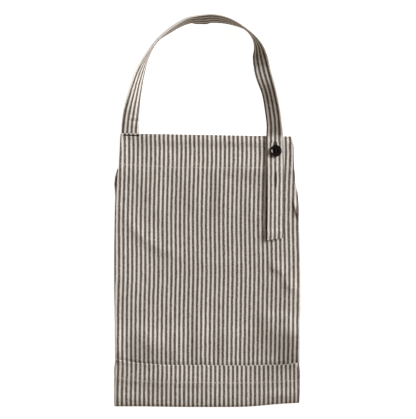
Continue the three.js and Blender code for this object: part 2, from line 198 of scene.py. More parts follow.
# Creases across the strap, deepest on its inner half: run along it, depth and spread
STRAP_CREASES = table("run depth spread", [
    (47, 0.5, 1.8), (58, 1.1, 2.2), (67, 0.5, 1.8), (246, 1.0, 4.0), (268, -0.9, 5.0),
    (392, 1.2, 2.4),
])
STRAP_LOOP = table("x y tilt lift", [
    (-116, 76, 0, 0), (-115.6, 112, 0, 0), (-114.2, 135, 10, 0), (-108.8, 171, 40, 0),
    (-99.5, 207, 61, 0), (-86.6, 236, 83, 0), (-74, 254, 90, 0), (-55, 269, 83, 0),
    (-36.5, 280.2, 79, 0), (-27.2, 283.8, 75, 0), (-16.2, 285, 68, 0), (-5.5, 285.7, 65, 0),
    (5.5, 287, 67, 0), (22, 285.6, 71, 0), (39.6, 280.6, 79.5, 0), (58, 271.2, 90, 0),
    (71.5, 257, 79, 0), (77.6, 243, 57, 0), (79.7, 230, 31, 0), (84.5, 207, 9, 0),
    (93.4, 177, 27, 0.4), (98.6, 150, 22, 1.4), (101.3, 126, 20, 3),
])
STRAP_ON_BIB = table("x y tilt", [
    (101.6, 112, 8), (102.2, 88, 0), (102.5, 66, -3.5), (102.6, 30, -5.5), (101.7, STRAP_END, -5),
])
# Buttonholes down the strap: middle, length, and how far each is pulled open
BUTTONHOLES = table("y length open", [
    (91.5, 22, 2.5), (45.8, 22, 0.35),
])
BUTTONHOLE_OFF_MIDDLE = 0.5
SLIT_PULL = 9.0
SLIT_HAIR = 0.001
# Grid of the strap: its close columns at either edge, where the even ones end, and their numbers
STRAP_EDGE = (0, 0.01, 0.03, 0.07)
STRAP_GRID = Values(even_to=0.88, inner=9, outer=10, along=560)
CREASE_SIDE = Values(start=-0.9, end=0.3)
LEAST_THICK = 0.01
RUN_ON_BIB = 170.0

# Button and its thread
BUTTON = Values(x=103.2, y=87.6, radius=8.9, height=3.6, dish=1.1)
BUTTON_STANDOFF = 1.3
BUTTON_BASE = GAP + STRAP + BUTTON_STANDOFF
BUTTON_DISH = BUTTON_BASE + BUTTON.height - BUTTON.dish
# The button's profile from under its middle, round the rim and into the dish
BUTTON_PROFILE = table("from_rim height", [
    (8.88, 0), (2.2, 0.02), (1.2, 0.25), (0.35, 0.95), (0, 1.9), (0.2, 2.9), (0.8, 3.45),
    (1.4, 3.6), (2.0, 3.48), (2.8, 3.05), (3.6, 2.62), (4.4, 2.5), (8.88, 2.5),
])
TIP = 0.02
HOLES = Values(count=4, spread=2.3, sides=20)
# Dark rings of painted shade where the button's holes are: radius and height above the dish
HOLE_SHADE_RINGS = table("radius height", [(1.45, 0.02), (1.2, 0.05), (1.05, 0.03), (TIP, 0.03)])
STRANDS = Values(half=0.55, count=4)
SHANK = Values(foot=0.3, top=0.35, radius=1.5, ripple=0.12, beat=9.0)
SHANK_FLARE = Values(width=1.6, start=-1.2, end=-0.7)

# Threads: their radius, how far a stitch's middle arches up and how far its ends sink in
HEM_THREAD = {"radius": 0.5, "bulge": 0.3, "sink": 0.5}
TACK_THREAD = {"radius": 0.5, "bulge": 0.4, "sink": 0.4}
LIP_THREAD = {"radius": 0.36, "bulge": 0.3, "sink": 0.35}
STRAND_THREAD = {"radius": 0.3, "bulge": 0.55, "sink": 0.8, "steps": 13, "sides": 8}
HEM_STITCH = Values(pitch=3.0, length=2.3)
BIB_STITCHES = (-131.5, 129.0)
POCKET_STITCHES = (-133.0, 131.5)
TACK = Values(left=-125.4, right=-101.6, pitch=0.62, below_top=2.2, half=1.3, lean=0.25)
TACK_SWAY = Values(height=0.1, beat=5.0)
LIP_STITCH = Values(count=38, inside=0.1, outside=1.05, sunk=0.1)

# Stripes: their repeat across the cloth and the place of one dark stripe on each piece. On the front they
# sway to the right and spread towards the sides with the height; on the strap they drift across its width.
STRIPE_REPEAT = 6.52
BODY_STRIPE = -8.55
STRIPE_DRIFT = table("y sway spread", [
    (-220, -0.6, 0.3), (-185, -0.3, 0.5), (-140, 0.2, 0.7), (-95, 1.2, 0.3), (-65, 1.0, 0.1),
    (-20, 0.5, -0.3), (10, 0.85, -0.4), (50, 1.9, -0.5), (82, 2.8, 0.2), (113, 2.5, 0.3),
])
POCKET_STRIPES = table("y x repeat", [
    (-295, -1.1, 6.65), (-273, -1.1, 6.64), (-241, -0.8, 6.6), (-225, -0.8, 6.59),
])
# The pocket's stripes close up where its right end rolls down
POCKET_BOW = Values(start=116.0, shift=2.0, power=1.6, limit=1.2)
STRAP_REPEAT = 6.4
STRAP_STRIPES = table("run from_inner_edge", [
    (0, 11.6), (45, 11.4), (99, 9.8), (130, 9.2), (170, 9.0), (254, 9.6), (270, 9.0), (340, 8.8),
    (380, 8.0), (485, 7.4), (525, 6.0), (580, 5.2), (660, 5.2),
])

HEM, TURN, FRONT, BOTTOM_BEND, UNDER = range(5)


def ease(value, start, end):
    """Smooth step from 0 at start to 1 at end."""
    share = np.clip((value - start) / (end - start), 0.0, 1.0)
    return share * share * (3.0 - 2.0 * share)


def eased(value, span, base=0.0):
    """Smooth step over a span's start and end, counted from a base."""
    return ease(value, base + span.start, base + span.end)


def between(x, row):
    """Smooth step up over a row's left span and down again over its right one."""
    up = ease(x, row["left_start"], row["left_end"])
    return up * ease(-x, -row["right_end"], -row["right_start"])


def blend(first, second, share):
    """Share of the way from first to second."""
    return first + (second - first) * share


def through(rows, key, column):
    """A cubic through one column of a table; its slope at a row is the mean of the runs on either side."""
    keys, values = rows[key], rows[column]
    runs = np.diff(values) / np.diff(keys)
    slopes = np.concatenate([runs[:1], (runs[:-1] + runs[1:]) / 2, runs[-1:]])

    def curve(at):
        at = np.clip(at, keys[0], keys[-1])
        k = np.clip(np.searchsorted(keys, at, side="right") - 1, 0, len(keys) - 2)
        span = keys[k + 1] - keys[k]
        t = (at - keys[k]) / span
        rise = t * t * (3 - 2 * t)
        lead_out = t * (1 - t) ** 2 * span * slopes[k]
        lead_in = t * t * (t - 1) * span * slopes[k + 1]
        return blend(values[k], values[k + 1], rise) + lead_out + lead_in

    return curve


left_edge = through(SIDE_EDGES, "y", "left")
right_edge = through(SIDE_EDGES, "y", "right")
bib_stitch_line = through(BIB_STITCH_LINE, "x", "y")
pocket_mouth = through(POCKET_MOUTH, "x", "y")
mouth_lift = through(MOUTH_LIFT, "x", "rise")
stripe_sway = through(STRIPE_DRIFT, "y", "sway")
stripe_spread = through(STRIPE_DRIFT, "y", "spread")
pocket_stripe_x = through(POCKET_STRIPES, "y", "x")
pocket_repeat = through(POCKET_STRIPES, "y", "repeat")
strap_stripe = through(STRAP_STRIPES, "run", "from_inner_edge")
puff_along = through(PUFFED_EDGE, "run", "extra")


# How the folded stack lies

def skewed(x, y):
    """The top edge leans down to the right; the bottom fold bows down and its right end rises."""
    share = np.clip((y - FOOT) / (BIB_TOP - FOOT), 0, 1)
    rise = BOTTOM_RISE.height * eased(x, BOTTOM_RISE)
    bow = BOTTOM_BOW.height * (1 - eased(np.abs(x), BOTTOM_BOW))
    return y - share * BIB_LEAN * x + (1 - share) * (rise - bow)


def skirt_peek(y):
    """How far the skirt behind shows past the front's left edge."""
    return SKIRT_PEEK.reach * np.exp(-((y - SKIRT_PEEK.y) / SKIRT_PEEK.half) ** 2)


def stack_lift(y):
    """The stack stands one layer higher where the pocket's end lies under it."""
    return PITCH * (1 - ease(y, POCKET_END, POCKET_END + POCKET_EASE))


def bib_sag(x, y):
    """The bib comes down towards the floor, more at its right corner."""
    drop = blend(BIB_SAG.left, BIB_SAG.right, ease(x, BIB_SAG.left_end, BIB_SAG.right_end))
    return drop * ease(y, ARMHOLE, BIB_TOP - BIB_SAG.top_ease)


def crease_line(row, steps=12):
    """Points along one crease: a parabola from its start to its end, drawn towards its middle point."""
    t = np.linspace(0, 1, steps + 1)
    start, middle, end = (1 - t) ** 2, 2 * t * (1 - t), t * t
    x = row["x0"] * start + row["xm"] * middle + row["x1"] * end
    y = row["y0"] * start + row["ym"] * middle + row["y1"] * end
    return x, y


def crease_height(x, y):
    """Sum over the creases of a bell curve of the distance to the crease's line, fading at its ends."""
    total = np.zeros_like(x)
    for row in CREASES:
        line_x, line_y = crease_line(row)
        nearest = np.full_like(x, np.inf)
        along = np.zeros_like(x)
        spread = np.ones_like(x)
        for k in range(len(line_x) - 1):
            run_x, run_y = line_x[k + 1] - line_x[k], line_y[k + 1] - line_y[k]
            from_x, from_y = x - line_x[k], y - line_y[k]
            t = np.clip((from_x * run_x + from_y * run_y) / (run_x ** 2 + run_y ** 2), 0, 1)
            away = np.hypot(from_x - t * run_x, from_y - t * run_y)
            closer = away < nearest
            on_left = run_x * from_y - run_y * from_x > 0
            nearest = np.where(closer, away, nearest)
            spread = np.where(closer, np.where(on_left, row["left"], row["right"]), spread)
            along = np.where(closer, (k + t) / (len(line_x) - 1), along)
        fade = ease(along, 0, CREASE_FADE) * ease(1 - along, 0, CREASE_FADE)
        total += row["rise"] * fade * np.exp(-((nearest / spread) ** 2))
    return total


def ripple(x, y, seed, waves, shortest, longest, height):
    """Low ripples of lying cloth: sines of seeded lengths and directions added together."""
    draw = np.random.default_rng(seed)
    heading = draw.uniform(0, math.pi, waves)
    length = draw.uniform(shortest, longest, waves)
    phase = draw.uniform(0, 2 * math.pi, waves)
    total = np.zeros_like(x)
    for k in range(waves):
        travel = x * math.cos(heading[k]) + y * math.sin(heading[k])
        total += np.sin(2 * math.pi * travel / length[k] + phase[k])
    return height * total / math.sqrt(waves)


def dented(x, y, dents):
    """Sum of round dents and swells."""
    total = np.zeros_like(x)
    for dent in dents:
        away = ((x - dent["x"]) / dent["half_x"]) ** 2 + ((y - dent["y"]) / dent["half_y"]) ** 2
        total += dent["rise"] * np.exp(-away)
    return total


def cushion(x, y):
    """Soft rise of the layers, falling off at the sides, the top edge, the pocket's mouth and the foot."""
    from_left = blend(CUSHION.left_edge, 1, ease(left_edge(y) + x, 0, CUSHION.left_ease))
    from_right = blend(CUSHION.right_edge, 1, ease(right_edge(y) - x, 0, CUSHION.right_ease))
    top = ease(BIB_TOP - y, CUSHION_ENDS.top_start, CUSHION_ENDS.top_end)
    to_right = ease(x, CUSHION_ENDS.turns_at, CUSHION_ENDS.turned_at)
    at_mouth = blend(CUSHION_ENDS.left_at_mouth, CUSHION_ENDS.right_at_mouth, to_right)
    fall = blend(CUSHION_ENDS.left_fall, CUSHION_ENDS.right_fall, to_right)
    above = blend(at_mouth, 1, ease(y - pocket_mouth(x), 0, fall))
    foot = ease(y - FOOT, CUSHION_ENDS.foot_start, CUSHION_ENDS.foot_end)
    return CUSHION.rise * from_left * from_right * top * foot * above


def front_relief(x, y):
    """The body's front: cushion, dents, creases, ripples and the bib's hem. Ridges end at the pocket."""
    seen_y = skewed(x, y)
    from_mouth = y - pocket_mouth(x)
    settled = eased(y, FOOT_FADE, FOOT)
    creased = crease_height(x, seen_y) + ripple(x, seen_y, **FRONT_RIPPLE) + dented(x, seen_y, DENTS)
    kept = np.where(creased > 0, eased(from_mouth, RIDGE_FADE), settled)
    loose = ease(BIB_TOP - y, 0, TOP_FADE)
    lip = MOUTH_LIP.drop * (1 - ease(from_mouth, 0, MOUTH_LIP.length))
    return cushion(x, y) + loose * kept * creased + hem_relief(x, y) - lip * settled


def pocket_roll(x, y):
    """The pocket's face rolls down over the foot: lifted above it, level at it and lower below it."""
    at_end = np.where(x < 0, POCKET_ROLL.left, POCKET_ROLL.right)
    height = blend(POCKET_ROLL.middle, at_end, eased(np.abs(x), POCKET_ROLL))
    return height * (2 * ease(y - FOOT, -POCKET_ROLL.length, POCKET_ROLL.length) - 1)


def pocket_relief(x, y):
    """The pocket's face: cushion, roll over the foot, lifted mouth, dents and ripples."""
    loose = eased(y, POCKET_FOOT_FADE, FOOT)
    creased = dented(x, y, POCKET_DENTS) + ripple(x, y, **POCKET_RIPPLE)
    near_mouth = np.clip(1 + (y - pocket_mouth(x)) / MOUTH_LIFT_LENGTH, 0, 1)
    return cushion(x, y) + pocket_roll(x, y) + mouth_lift(x) * near_mouth ** 2 + loose * creased


def lopsided(away, before, after):
    """A bell curve with its own spread on either side of its top."""
    return np.exp(-(away / np.where(away < 0, before, after)) ** 2)


def stitch_groove(away):
    """Groove that a line of stitches presses: a bell curve of the distance from it."""
    return -STITCH_GROOVE.depth * np.exp(-(away / STITCH_GROOVE.half) ** 2)


def hem_relief(x, y):
    """The bib's hem: a step where it ends, a groove along its stitches, valleys across it and a low rim."""
    from_stitch = y - bib_stitch_line(x)
    to_right = ease(x, HEM_STEP.turns_at, HEM_STEP.turned_at)
    height = blend(HEM_STEP.left, HEM_STEP.right, to_right)
    step = height * eased(y, HEM_STEP) * eased(BIB_TOP - y, HEM_TOP)
    near_stitch = np.exp(-(from_stitch / STITCH_PUCKER.half) ** 2)
    pucker = STITCH_PUCKER.height * np.sin(x * STITCH_PUCKER.beat) * near_stitch
    total = step + stitch_groove(from_stitch) + pucker
    for row in HEM_VALLEYS:
        total -= row["depth"] * lopsided(y - row["y"], row["below"], row["above"]) * between(x, row)
    rim = HEM_RIM.depth * ease(y - BIB_TOP, -HEM_RIM.height, 0)
    return total - rim * between(x, HEM_RIM_SPAN)


def front_height(x, y):
    """Middle of the front layer above the floor."""
    return CLOTH / 2 + stack_lift(y) + 2 * BEND - bib_sag(x, y) + front_relief(x, y)


def front_top(x, y):
    """Face of the front layer above the floor."""
    return front_height(x, y) + CLOTH / 2


# Columns across a sheet and rows along it

def columns_across(panel_shares, fold_turn, fold_cells, reaches):
    """Share of the panel's width, turn round a side fold and reach along a wing, for each column."""
    fold = fold_turn * np.arange(1, fold_cells + 1) / fold_cells
    side_turn = np.concatenate([fold, np.full(len(reaches), math.pi)])
    side_reach = np.concatenate([np.zeros(fold_cells), reaches])
    ones = np.ones(len(side_turn))
    level = np.zeros(len(panel_shares))
    return {
        "share": np.concatenate([-ones, panel_shares, ones]),
        "turn": np.concatenate([side_turn[::-1], level, side_turn]),
        "reach": np.concatenate([side_reach[::-1], level, side_reach]),
    }


def rows_along(stages):
    """Stage and value of every row, from (stage, start, end, cells) runs that follow one another."""
    kinds = [np.full(cells, stage) for stage, start, end, cells in stages]
    values = [np.linspace(start, end, cells + 1)[1:] for stage, start, end, cells in stages]
    first_stage, first_value = stages[0][0], stages[0][1]
    return {
        "stage": np.concatenate([[first_stage], *kinds])[:, None],
        "at": np.concatenate([[first_value], *values])[:, None],
    }


def pressed(part):
    """A round fold pressed towards a square one: the part of a circle's radius raised to a power."""
    return np.sign(part) * np.abs(np.round(part, 9)) ** FOLD_PRESS


def across(columns, offset, y, peek, inset):
    """Where each column lies across the stack, its depth there and its place on the flat cloth."""
    share, turn, reach = columns["share"], columns["turn"], columns["reach"]
    left_axis = left_edge(y) + peek - inset - CLOTH / 2 - LEFT_FOLD
    right_axis = right_edge(y) - inset - CLOTH / 2 - RIGHT_FOLD
    panel_x = blend(-left_axis, right_axis, (share + 1) / 2)
    radius = np.where(share < 0, LEFT_FOLD, RIGHT_FOLD)
    axis = np.where(share < 0, left_axis, right_axis)
    round_x, round_depth = pressed(np.sin(turn)), pressed(np.cos(turn))
    opened = blend(FOLD_START.share, 1, ease(ARMHOLE - y, 0, FOLD_START.length))
    fold_x = share * (axis + (radius + offset) * round_x * opened - reach)
    fold_depth = (radius + offset) * round_depth - radius
    on_panel = turn == 0
    arc = (radius + np.maximum(offset, 0)) * turn
    flat = np.where(on_panel, panel_x, share * (axis + arc + reach))
    return np.where(on_panel, panel_x, fold_x), np.where(on_panel, offset, fold_depth), flat


def hem_place(rows, edge, offset, side):
    """Hem turned behind an edge: rows lie flat behind it, then go half round a small circle to the front."""
    radius = PITCH / 2
    stage, at = rows["stage"], rows["at"]
    round_y = edge - radius + (radius + side) * np.sin(at)
    round_offset = offset - radius + (radius + side) * np.cos(at)
    y = np.where(stage == HEM, edge - radius - at, round_y)
    return y, np.where(stage == HEM, offset - 2 * radius - side, round_offset)


def folded_depth(columns):
    """How far behind their layer the wings are folded on either side."""
    return np.where(columns["share"] < 0, 2 * LEFT_FOLD, 2 * RIGHT_FOLD)


def given_way(columns, relief):
    """How far the wings folded behind go down where the front presses on them."""
    behind = np.clip(-np.cos(columns["turn"]), 0, 1)
    return np.minimum(relief + folded_depth(columns) - PITCH, 0) * behind


def settle(columns, rows, y, offset, relief, inset=0.0):
    """From the flat stack to the folded one: over the front, round the bottom fold and underneath."""
    stage, at = rows["stage"], rows["at"]
    bends = stage == BOTTOM_BEND
    y = np.where(bends, FOOT, y)
    peek = np.where(stage == UNDER, skirt_peek(y), 0.0)
    x, depth, flat = across(columns, offset, y, peek, inset)
    y = np.broadcast_to(y, x.shape)
    radius = BEND + depth
    bend_y = skewed(x, FOOT) - radius * np.sin(at)
    relief_y = np.where(bends, FOOT - BEND * np.sin(at), y)
    fallen = relief(x, relief_y) - bib_sag(x, y)
    given = given_way(columns, fallen)
    shaped = fallen * (1 + np.cos(columns["turn"])) / 2 + given
    bend_z = CLOTH / 2 + PITCH + BEND + radius * np.cos(at) + shaped * (1 + np.cos(at)) / 2
    upper_z = CLOTH / 2 + stack_lift(y) + 2 * BEND + depth + shaped
    under_z = CLOTH / 2 + stack_lift(y) - depth + np.maximum(given, -folded_depth(columns))
    z = np.where(bends, bend_z, np.where(stage == UNDER, under_z, upper_z))
    return np.stack([x, np.where(bends, bend_y, skewed(x, y)), z], -1), flat


def flat_length(rows, edge, front_y):
    """Distance along the flat cloth: the hem above the edge, the front, then on round the bottom fold."""
    stage, at = rows["stage"], rows["at"]
    bend = FOOT - BEND * at
    under = FOOT - math.pi * BEND - (at - FOOT)
    hem = np.where(stage == HEM, edge + at, edge)
    return np.select([stage <= TURN, stage == FRONT, stage == BOTTOM_BEND], [hem, front_y, bend], under)


# Meshes

def mesh_object(name, points, quads, flat=None):
    """A mesh from points in millimetres and four-cornered faces, with its flat-cloth coordinates."""
    mesh = bpy.data.meshes.new(name)
    mesh.from_pydata((points * MM).tolist(), [], quads.tolist())
    mesh.polygons.foreach_set("use_smooth", np.ones(len(quads), bool))
    mesh.set_sharp_from_angle(angle=math.radians(55))
    if flat is not None:
        layer = mesh.uv_layers.new(name="flat_cloth")
        layer.data.foreach_set("uv", (flat[quads.ravel()] * MM).astype(np.float32).ravel())
    piece = bpy.data.objects.new(name, mesh)
    bpy.context.scene.collection.objects.link(piece)
    return piece


def sheet_object(name, upper, lower, flat, present=None):
    """A closed sheet from two grids of points: both faces of each cell present, and walls at open edges."""
    rows, cols = upper.shape[:2]
    if present is None:
        present = np.ones((rows - 1, cols - 1), bool)
    index = np.arange(rows * cols).reshape(rows, cols)
    ring = [index[:-1, :-1], index[1:, :-1], index[1:, 1:], index[:-1, 1:]]
    framed = np.pad(present, 1)
    beyond = [framed[1:-1, :-2], framed[2:, 1:-1], framed[1:-1, 2:], framed[:-2, 1:-1]]
    faces = [np.stack(ring, -1)[present], np.stack(ring[::-1], -1)[present] + rows * cols]
    for k in range(4):
        p, q = ring[k], ring[(k + 1) % 4]
        wall = np.stack([q, p, p + rows * cols, q + rows * cols], -1)
        faces.append(wall[present & ~beyond[k]])
    used, quads = np.unique(np.concatenate(faces), return_inverse=True)
    points = np.concatenate([upper.reshape(-1, 3), lower.reshape(-1, 3)])[used]
    flat_twice = np.concatenate([flat.reshape(-1, 2)] * 2)[used]
    return mesh_object(name, points, quads.reshape(-1, 4), flat_twice)


def cloth_object(name, surface, columns, rows, present=None):
    """A sheet of cloth from its surface half a thickness to either side of its middle."""
    upper, _ = surface(columns, rows, CLOTH / 2)
    lower, flat = surface(columns, rows, -CLOTH / 2)
    return sheet_object(name, upper, lower, flat, present)


def ring_quads(index):
    """Faces between rings that follow one another, from the numbers of their points round each ring."""
    beyond = np.roll(index, -1, axis=-1)
    corners = [index[..., :-1, :], beyond[..., :-1, :], beyond[..., 1:, :], index[..., 1:, :]]
    return np.stack(corners, -1).reshape(-1, 4)


# Apron body

def body_surface(columns, rows, side):
    """Points of the body's cloth a little to one side of its middle, and their place on the flat cloth."""
    stage, at = rows["stage"], rows["at"]
    armhole_share = np.clip((at - FOOT) / (ARMHOLE - FOOT), 0, 1)
    fall = np.where(stage == FRONT, ARMHOLE_DROP * np.sqrt(columns["reach"] / WING) * armhole_share, 0.0)
    hem_y, hem_offset = hem_place(rows, BIB_TOP, 0.0, side)
    in_hem = stage <= TURN
    y = np.where(in_hem, hem_y, np.where(stage == BOTTOM_BEND, FOOT, at - fall))
    points, across_flat = settle(columns, rows, y, np.where(in_hem, hem_offset, side), front_relief)
    along = np.broadcast_to(flat_length(rows, BIB_TOP, y), across_flat.shape)
    seen_y = skewed(across_flat, y)
    stripe_u = across_flat * (1 - stripe_spread(seen_y) / HALF_FRONT) - stripe_sway(seen_y) - BODY_STRIPE
    return points, np.stack([stripe_u, along], -1)


def make_apron_body():
    """The body's cloth, with columns closer together near its right edge, and no wings above the armhole."""
    finer_from = 0.84
    shares = np.concatenate([np.linspace(-1, finer_from, 126), np.linspace(finer_from, 1, 26)[1:]])
    columns = columns_across(shares, math.pi, 8, np.linspace(0, WING, 14)[1:])
    hem_cells, turn_cells, bib_cells = 12, 8, 32
    rows = rows_along([
        (HEM, BIB_HEM, 0, hem_cells),
        (TURN, math.pi, 0, turn_cells),
        (FRONT, BIB_TOP - PITCH / 2, ARMHOLE, bib_cells),
        (FRONT, ARMHOLE, FOOT, 150),
        (BOTTOM_BEND, 0, math.pi, 14),
        (UNDER, FOOT, SKIRT_END, 30),
    ])
    on_panel = columns["turn"] == 0
    below_armhole = np.arange(len(rows["at"]) - 1)[:, None] >= hem_cells + turn_cells + bib_cells
    present = (on_panel[:-1] & on_panel[1:])[None, :] | below_armhole
    return cloth_object("apron_body_cloth", body_surface, columns, rows, present)


# Pocket

def pocket_stitch_line(x):
    """Line of the pocket hem's stitches, just above the hem's raw edge."""
    return pocket_mouth(x) - POCKET_HEM + STITCH_INSET


def pocket_surface(columns, rows, side):
    """The pocket's cloth, one layer over the front and two where its hem is tucked behind the mouth."""
    stage, at = rows["stage"], rows["at"]
    x_there = columns["share"] * HALF_FRONT
    mouth = pocket_mouth(x_there)
    hem_y, hem_offset = hem_place(rows, mouth, 2 * PITCH, side)
    front_y = blend(FOOT, mouth - PITCH / 2, at)
    y = np.select([stage <= TURN, stage == FRONT], [hem_y, front_y], np.broadcast_to(at, hem_y.shape))
    hemmed = np.where(stage == FRONT, eased(y, POCKET_HEM_STEP, mouth - POCKET_HEM), 0.0)
    groove = np.where(stage == FRONT, stitch_groove(y - pocket_stitch_line(x_there)), 0.0)
    offset = np.where(stage <= TURN, hem_offset, PITCH * (1 + hemmed) + side + groove)
    at_mouth = np.where(columns["share"] < 0, MOUTH_INSET.left, MOUTH_INSET.right)
    drawn_in = at_mouth * ease(y - mouth, -MOUTH_INSET.length, 0)
    in_hem = np.where(stage <= TURN, PITCH + at_mouth, 0.0)
    inset = np.where(stage == FRONT, PITCH * hemmed + drawn_in, in_hem)
    tuck = np.where(stage == UNDER, ease(y, FOOT, FOOT + POCKET_TUCK.length), 0.0)
    wrapped = dict(columns, turn=columns["turn"] * blend(1, POCKET_TUCK.wrap, tuck))
    points, across_flat = settle(wrapped, rows, y, offset, pocket_relief, inset)
    along = np.broadcast_to(flat_length(rows, mouth, y), across_flat.shape)
    near_end = (across_flat - POCKET_BOW.start) / (HALF_FRONT - POCKET_BOW.start)
    bow = POCKET_BOW.shift * np.clip(near_end, 0, POCKET_BOW.limit) ** POCKET_BOW.power
    stripe_y = np.where(stage == BOTTOM_BEND, FOOT, y)
    stripe_u = (across_flat + bow - pocket_stripe_x(stripe_y)) * STRIPE_REPEAT / pocket_repeat(stripe_y)
    return points, np.stack([stripe_u, along], -1)


def make_pocket():
    columns = columns_across(np.linspace(-1, 1, 151), math.pi / 2, 5, [])
    rows = rows_along([
        (HEM, POCKET_HEM, 0, 8),
        (TURN, math.pi, 0, 8),
        (FRONT, 1, 0, 36),
        (BOTTOM_BEND, 0, math.pi, 14),
        (UNDER, FOOT, POCKET_END, 16),
    ])
    return cloth_object("pocket_cloth", pocket_surface, columns, rows)


# Neck strap

def strap_rows():
    """The strap's table with its free loop and its end on the bib, keyed by the run along it."""
    height = front_top(STRAP_ON_BIB["x"], STRAP_ON_BIB["y"]) + GAP
    x, y, tilt = (np.concatenate([STRAP_LOOP[name], STRAP_ON_BIB[name]]) for name in ("x", "y", "tilt"))
    lift = np.concatenate([STRAP_LOOP["lift"], height])
    run = np.concatenate([[0.0], np.cumsum(np.hypot(np.diff(x), np.diff(y)))])
    return table("run x y tilt lift", list(zip(run, x, y, tilt, lift)))


STRAP_ROWS = strap_rows()
STRAP_RUN = STRAP_ROWS["run"][-1]
strap_x, strap_y, strap_tilt, strap_lift = (
    through(STRAP_ROWS, "run", name) for name in ("x", "y", "tilt", "lift"))


def strap_half(run):
    """Half the strap's width, which narrows evenly from its sewn end to its free one."""
    return blend(STRAP_WIDTH.sewn, STRAP_WIDTH.free, run / STRAP_RUN) / 2


def strap_surface(run, reach, side):
    """A point of the strap: run along it, reach outwards across its tilted width, side above its middle."""
    x, y = strap_x(run), strap_y(run)
    ahead_x, ahead_y = strap_x(run + 1) - strap_x(run - 1), strap_y(run + 1) - strap_y(run - 1)
    size = np.hypot(ahead_x, ahead_y)
    ahead_x, ahead_y = ahead_x / size, ahead_y / size
    lean = np.radians(strap_tilt(run))
    lies = (y < BIB_TOP) & (x > 0)
    base = np.where(lies, front_top(x, y) + GAP, np.maximum(strap_lift(run), 0))
    rest = base + strap_half(run) * np.abs(np.sin(lean)) + STRAP / 2 * np.cos(lean)
    slant = STRAP_SLANT * ease(run, STRAP_RUN - STRAP_SLANT_LENGTH, STRAP_RUN)
    outward = reach * np.cos(lean) - side * np.sin(lean)
    upward = reach * np.sin(lean) + side * np.cos(lean)
    return np.stack([
        x - ahead_x * reach * slant - ahead_y * outward,
        y - ahead_y * reach * slant + ahead_x * outward,
        rest + upward,
    ], -1)


def run_at(y):
    """Run along the strap's end on the bib at a height y."""
    run = np.linspace(STRAP_RUN - RUN_ON_BIB, STRAP_RUN, 600)
    return float(np.interp(-y, -strap_y(run), run))


def slit_half_width(run):
    """Half the opening of the buttonholes along the strap: a parabola over each one's length."""
    total = np.zeros_like(run)
    for hole in BUTTONHOLES:
        share = (run - run_at(hole["y"])) / (hole["length"] / 2)
        total += hole["open"] * np.clip(1 - share ** 2, 0, None)
    return total


def puffed_edge(run, share):
    """How much thicker the strap is towards its outer edge."""
    return 1 + np.maximum(puff_along(run), 0) * ease(share, PUFF_START, PUFF_FULL)


def strap_creases(run):
    """Depth of the creases across the strap: a bell curve along the run for each."""
    total = np.zeros_like(run)
    for crease in STRAP_CREASES:
        total += crease["depth"] * np.exp(-((run - crease["run"]) / crease["spread"]) ** 2)
    return total


def strap_thickness(run, share):
    """Half the strap's thickness: rounded at its edges, pressed thin at the sewn leg's and puffed outside."""
    from_edge = (1 - np.abs(share)) * strap_half(run)
    at_edge = blend(PRESSED_EDGE.share, 1, eased(run, PRESSED_EDGE))
    flattened = blend(at_edge, 1, ease(from_edge, 0, PRESSED_EDGE.width))
    rounded = np.sqrt(np.clip(1 - np.clip(1 - from_edge, 0, 1) ** 2, LEAST_THICK, 1))
    return STRAP / 2 * flattened * puffed_edge(run, share) * rounded


def turned_end(run):
    """How much thicker the face is where the free end is turned in: up a slope and round down at the fold."""
    turned_from = STRAP_RUN - TURNED_END.length
    risen = ease(run, turned_from - TURNED_END.slope, turned_from)
    return 1 + TURNED_END.rise * risen * ease(STRAP_RUN - run, 0, TURNED_END.round)


def make_neck_strap():
    """The strap as a grid of run and share of its width, creased, with its buttonholes left open."""
    edge = 1 - np.array(STRAP_EDGE)
    slit = BUTTONHOLE_OFF_MIDDLE / (STRAP_WIDTH.free / 2)
    inner = np.linspace(STRAP_GRID.even_to, slit + SLIT_HAIR, STRAP_GRID.inner)
    outer = np.linspace(slit - SLIT_HAIR, -STRAP_GRID.even_to, STRAP_GRID.outer)
    share = np.concatenate([edge, inner, outer, -edge[::-1]])[:, None]
    run = np.linspace(0, STRAP_RUN, STRAP_GRID.along)[None, :]
    half = strap_half(run)
    beside = (share - slit) * half
    spread = slit_half_width(run) * np.sign(beside) * np.clip(1 - np.abs(beside) / SLIT_PULL, 0, 1)
    thick = strap_thickness(run, share)
    crease = strap_creases(run) * eased(-share, CREASE_SIDE)
    upper = strap_surface(run, share * half + spread, thick * turned_end(run) - crease)
    lower = strap_surface(run, share * half + spread, -thick - crease)
    lower[..., 2] = np.maximum(lower[..., 2], 0)
    stripe_u = ((share + 1) * half - strap_stripe(run)) * STRIPE_REPEAT / STRAP_REPEAT
    flat = np.stack(np.broadcast_arrays(stripe_u, run), -1)
    at_slit = np.abs(share[:, 0] - slit) < 2 * SLIT_HAIR
    middle = (run[0, 1:] + run[0, :-1]) / 2
    present = ~((at_slit[:-1] & at_slit[1:])[:, None] & (slit_half_width(middle) > 0)[None, :])
    return sheet_object("neck_strap_cloth", upper, lower, flat, present)


# Stitches and threads

